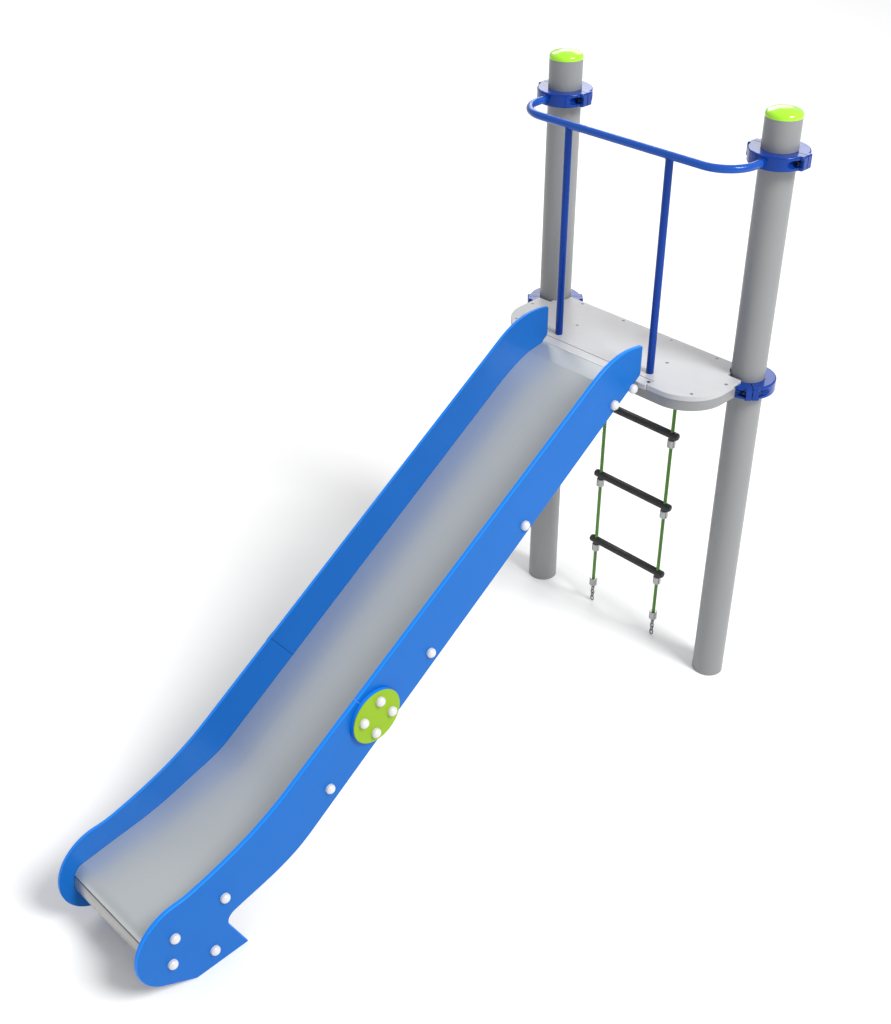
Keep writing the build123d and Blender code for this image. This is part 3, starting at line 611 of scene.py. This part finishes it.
class SLIDE_OT_panels(SlideOperator):
    """Plastic board panels, joint discs and the white caps over the bolts"""

    bl_idname = "slide.panels"
    bl_label = "Side panels and discs"

    def execute(self, context):
        colours = context.scene.slide_colours
        # the blue board's lighter edge colour is a painted highlight on the routed edges
        blue = board("Blue board", colours.panel, colours.panel_edge_highlight)
        lime = board("Lime board", colours.disc, colours.disc)
        white = coated(
            "White cap plastic", colours.cap, rough=0.22, coat=0.35, darker=0.98, grain=400.0,
            grain_depth=0.00002,
        )
        bolt = metal("Panel bolt steel", colours.ferrule, rough=0.3, stretch=(200.0, 200.0, 200.0))
        for side in ("left", "right"):
            for node in ("upper_panel", "lower_panel", "joint_disc"):
                paint(f"{side}_{node}", blue)
            paint(f"{side}_disc_face", lime)
            paint(f"{side}_bolt_caps", white)
        paint("disc_bolt_caps", white)
        paint("disc_nuts", blue)
        for node in ("tie_bolts", "disc_bolts"):
            paint(node, bolt)
        return {"FINISHED"}


def smooth_route(name, points):
    """Points along a smooth curve through the route, read from its spline."""
    curve = bpy.data.curves.new(name, "CURVE")
    curve.dimensions = "3D"
    curve.resolution_u = 48
    spline = curve.splines.new("NURBS")
    spline.points.add(len(points) - 1)
    for place, point in zip(spline.points, points):
        place.co = (*point, 1)
    spline.order_u = 3
    spline.use_endpoint_u = True
    guide = bpy.data.objects.new(name, curve)
    mesh = bpy.data.meshes.new_from_object(guide)
    line = [v.co.copy() for v in mesh.vertices]
    bpy.data.objects.remove(guide)
    bpy.data.curves.remove(curve)
    bpy.data.meshes.remove(mesh)
    return line


def evenly(line, step):
    """The same line with points a step apart."""
    out = [line[0]]
    left = step
    for a, b in zip(line, line[1:]):
        span = (b - a).length
        done = 0.0
        while span - done >= left:
            done += left
            out.append(a.lerp(b, done / span))
            left = step
        left -= span - done
    if (line[-1] - out[-1]).length > step * 0.3:
        out.append(line[-1])
    return out


STRAND_SQUEEZE = 1.06             # strands press into each other by this much
CORE_SHARE = 0.8                  # the core fills this much of the strands' circle


def stranded_rope(name, line, radius, strands, pitch):
    """Strands laid round the line, each a round yarn bundle on a helix."""
    bm = bmesh.new()
    touching = radius * math.sin(math.pi / strands) / (1 + math.sin(math.pi / strands))
    strand_r = touching * STRAND_SQUEEZE
    orbit = radius - strand_r
    section = 10
    for k in range(strands + 1):
        core = k == strands
        rings = []
        travelled = 0.0
        before = line[0]
        for i, point in enumerate(line):
            travelled += (point - before).length
            before = point
            along = (line[min(i + 1, len(line) - 1)] - line[max(i - 1, 0)]).normalized()
            side = along.cross(Vector((0, 1, 0))).normalized()
            other = along.cross(side)
            a = 2 * math.pi * (travelled / pitch + k / strands)
            out = side * math.cos(a) + other * math.sin(a)
            middle = point if core else point + out * orbit
            r = orbit * CORE_SHARE if core else strand_r
            across = along.cross(out)
            ring = []
            for j in range(section):
                b = 2 * math.pi * j / section
                ring.append(bm.verts.new(middle + out * (r * math.cos(b)) + across * (r * math.sin(b))))
            rings.append(ring)
        bridge_rings(bm, rings)
        bm.faces.new(rings[0][::-1])
        bm.faces.new(rings[-1])
    return mesh_piece(name, bm)


class SLIDE_OT_ropes(SlideOperator):
    """The two laid ropes of the ladder, from terminal to end ferrule"""

    bl_idname = "slide.ropes"
    bl_label = "Ladder ropes"

    def execute(self, context):
        sizes = context.scene.slide_sizes
        # the rope's second colour is painted shade for the yarn grooves
        fibre = rope_material(context.scene.slide_colours.rope, context.scene.slide_colours.rope_groove_shade)
        mouth_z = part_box("rope_terminals")[0][2]
        for side in ("left", "right"):
            low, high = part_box(f"{side}_rope")
            diameter = high[0] - low[0]
            spot = centre(f"{side}_rope")
            top = mouth_z + 0.010
            bottom = low[2] + 0.004
            route = [(spot.x, spot.y, z) for z in (top, (top + bottom) / 2, bottom)]
            line = evenly(smooth_route(f"{side}_route", route), 0.004)
            rope = stranded_rope(
                f"{side}_laid_rope", line, diameter / 2, sizes.rope_strands, sizes.rope_pitch,
            )
            rope.data.materials.append(fibre)
            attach(rope, "ladder")
            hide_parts(f"{side}_rope")
        return {"FINISHED"}


RUNG_END_ROUND = 0.55             # rounding of a rung's end, as a share of its radius
BORE_ROOM = 1.03                  # bore against rope


def ribbed_rung(name, node, rope_x, rope_r, ribs, depth):
    """A rubber rung with lengthwise ribs, rounded ends and bores for the ropes."""
    low, high = (Vector(c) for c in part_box(node))
    middle = (low + high) / 2
    radius = (high.z - low.z) / 2
    half = (high.x - low.x) / 2
    bm = bmesh.new()
    around = ribs * 8
    rings = []
    round_end = radius * RUNG_END_ROUND
    turns = [math.pi / 2 * i / 8 for i in range(9)]
    profile = [
        (-half + round_end * (1 - math.cos(t)), radius - round_end * (1 - math.sin(t))) for t in turns
    ]
    stations = profile + [(-x, r) for x, r in reversed(profile)]
    for x, r in stations:
        near_end = min(1.0, (half - abs(x)) / round_end)
        ring = []
        for j in range(around):
            b = 2 * math.pi * j / around
            groove = depth * near_end * (0.5 - 0.5 * math.cos(ribs * b)) ** 3
            rr = r - groove
            point = (middle.x + x, middle.y + rr * math.cos(b), middle.z + rr * math.sin(b))
            ring.append(bm.verts.new(point))
        rings.append(ring)
    bridge_rings(bm, rings)
    bm.faces.new(rings[0][::-1])
    bm.faces.new(rings[-1])
    rung = mesh_piece(name, bm)
    for x in (-rope_x, rope_x):
        drill = bmesh.new()
        bmesh.ops.create_cone(
            drill, cap_ends=True, segments=40, radius1=rope_r * BORE_ROOM, radius2=rope_r * BORE_ROOM,
            depth=radius * 4, matrix=Matrix.Translation((x, middle.y, middle.z)),
        )
        cutter = mesh_piece("drill", drill, smooth=False)
        cut = rung.modifiers.new("bore", "BOOLEAN")
        cut.operation = "DIFFERENCE"
        cut.solver = "EXACT"
        cut.object = cutter
        bpy.context.view_layer.update()
        done = bpy.data.meshes.new_from_object(rung.evaluated_get(bpy.context.evaluated_depsgraph_get()))
        rung.modifiers.clear()
        rung.data = done
        bpy.data.objects.remove(cutter)
    rung.data.name = name
    return rung


class SLIDE_OT_rungs(SlideOperator):
    """Ribbed rubber rungs and their collars"""

    bl_idname = "slide.rungs"
    bl_label = "Ladder rungs"

    def execute(self, context):
        sizes = context.scene.slide_sizes
        rubber = coated(
            "Rung rubber", context.scene.slide_colours.rung, rough=0.48, coat=0.0, darker=0.7,
            grain=500.0, grain_depth=0.00010, patch=18.0,
        )
        low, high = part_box("right_rope")
        rope_x = (low[0] + high[0]) / 2
        for name in ("top", "middle", "bottom"):
            node = f"{name}_rung"
            rung = ribbed_rung(
                f"{name}_ribbed_rung", node, rope_x, (high[0] - low[0]) / 2, sizes.rung_ribs,
                sizes.rung_rib_depth,
            )
            rung.data.materials.clear()
            rung.data.materials.append(rubber)
            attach(rung, "ladder")
            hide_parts(node)
        paint("rung_collars", rubber)
        return {"FINISHED"}


class SLIDE_OT_ladder_metal(SlideOperator):
    """Ferrules, terminals, pins and chains of the ladder"""

    bl_idname = "slide.ladder_metal"
    bl_label = "Ladder fittings"

    def execute(self, context):
        colours = context.scene.slide_colours
        pressed = metal(
            "Pressed aluminium", colours.ferrule, rough=0.26, stretch=(40.0, 40.0, 900.0),
            depth=0.00006,
        )
        chain = metal(
            "Chain link steel", colours.chain, rough=0.28, stretch=(220.0, 220.0, 220.0), depth=0.00008,
        )
        for node in ("rope_ferrules", "end_ferrules", "rope_terminals"):
            paint(node, pressed)
        for node in ("left_chain", "right_chain", "hanger_pins"):
            paint(node, chain)
        return {"FINISHED"}


def soft_light(name, place, target, size, watts):
    """A round area light that faces its target."""
    data = bpy.data.lights.new(name, "AREA")
    data.shape = "DISK"
    data.size = size
    data.energy = watts
    lamp = link(bpy.data.objects.new(name, data))
    lamp.location = place
    aim = Vector(target) - Vector(place)
    lamp.rotation_euler = aim.to_track_quat("-Z", "Y").to_euler()


class SLIDE_OT_stage(SlideOperator):
    """Pale floor, soft light and the camera"""

    bl_idname = "slide.stage"
    bl_label = "Stage"

    def execute(self, context):
        stage = context.scene.slide_stage
        self.floor(stage.floor_size)
        world = bpy.data.worlds.new("Studio")
        context.scene.world = world
        world.use_nodes = True
        sky = world.node_tree.nodes["Background"]
        sky.inputs["Color"].default_value = (1, 1, 1, 1)
        sky.inputs["Strength"].default_value = stage.sky
        middle = (0, 0, 1)
        soft_light("key", (11.0, 1.5, 13.5), middle, 6.0, stage.key_watts)
        soft_light("back", (-4.7, 7.9, 5.6), middle, 4.5, stage.back_watts)
        soft_light("backdrop", (-11, 9, 9), (-11, 9, 0), 8.0, stage.backdrop_watts)
        context.scene.view_settings.view_transform = "Standard"
        self.camera(stage)
        return {"FINISHED"}

    def floor(self, half):
        bm = bmesh.new()
        corners = [bm.verts.new((x * half, y * half, 0)) for x, y in ((-1, -1), (1, -1), (1, 1), (-1, 1))]
        bm.faces.new(corners)
        floor = mesh_piece("floor", bm, smooth=False)
        paper = Finish("Pale floor", 0.9, specular=0.1)
        node = paper.mottle((0.92, 0.92, 0.92, 1), 0.985, 0.6, 40.0)
        paper.wire(node.outputs["Colour"], paper.shader.inputs["Base Color"])
        floor.data.materials.append(paper.material)

    def camera(self, stage):
        data = bpy.data.cameras.new("camera")
        data.sensor_width = 36
        data.lens = stage.lens
        data.shift_x = -0.0003
        data.shift_y = 0.0072
        data.clip_end = 100
        camera = link(bpy.data.objects.new("camera", data))
        turn = Matrix.Rotation(stage.azimuth, 4, "Z") @ Matrix.Rotation(math.pi / 2 - stage.tilt, 4, "X")
        camera.matrix_world = Matrix.Translation(stage.place) @ turn @ Matrix.Rotation(stage.roll, 4, "Z")
        bpy.context.scene.camera = camera


class SLIDE_PT_panel(bpy.types.Panel):
    """Sidebar list of the steps"""

    bl_idname = "SLIDE_PT_panel"
    bl_label = "Playground slide"
    bl_space_type = "VIEW_3D"
    bl_region_type = "UI"
    bl_category = "Slide"

    def draw(self, context):
        for step in STEPS:
            self.layout.operator(step.bl_idname)
        for options in (context.scene.slide_colours, context.scene.slide_sizes, context.scene.slide_stage):
            box = self.layout.box()
            for name in options.__annotations__:
                box.prop(options, name)


STEPS = (
    SLIDE_OT_stage,
    SLIDE_OT_ropes,
    SLIDE_OT_rungs,
    SLIDE_OT_ladder_metal,
    SLIDE_OT_posts,
    SLIDE_OT_clamps,
    SLIDE_OT_guard_rail,
    SLIDE_OT_deck,
    SLIDE_OT_chute,
    SLIDE_OT_panels,
)
OPTIONS = {"slide_colours": SlideColours, "slide_sizes": SlideSizes, "slide_stage": SlideStage}


def register():
    for kind in (*OPTIONS.values(), *STEPS, SLIDE_PT_panel):
        bpy.utils.register_class(kind)
    for name, kind in OPTIONS.items():
        setattr(bpy.types.Scene, name, PointerProperty(type=kind))


def unregister():
    for name in OPTIONS:
        delattr(bpy.types.Scene, name)
    for kind in reversed((*OPTIONS.values(), *STEPS, SLIDE_PT_panel)):
        bpy.utils.unregister_class(kind)


def main():
    register()
    for step in STEPS:
        family, action = step.bl_idname.split(".")
        getattr(getattr(bpy.ops, family), action)()


if __name__ == "__main__":
    main()
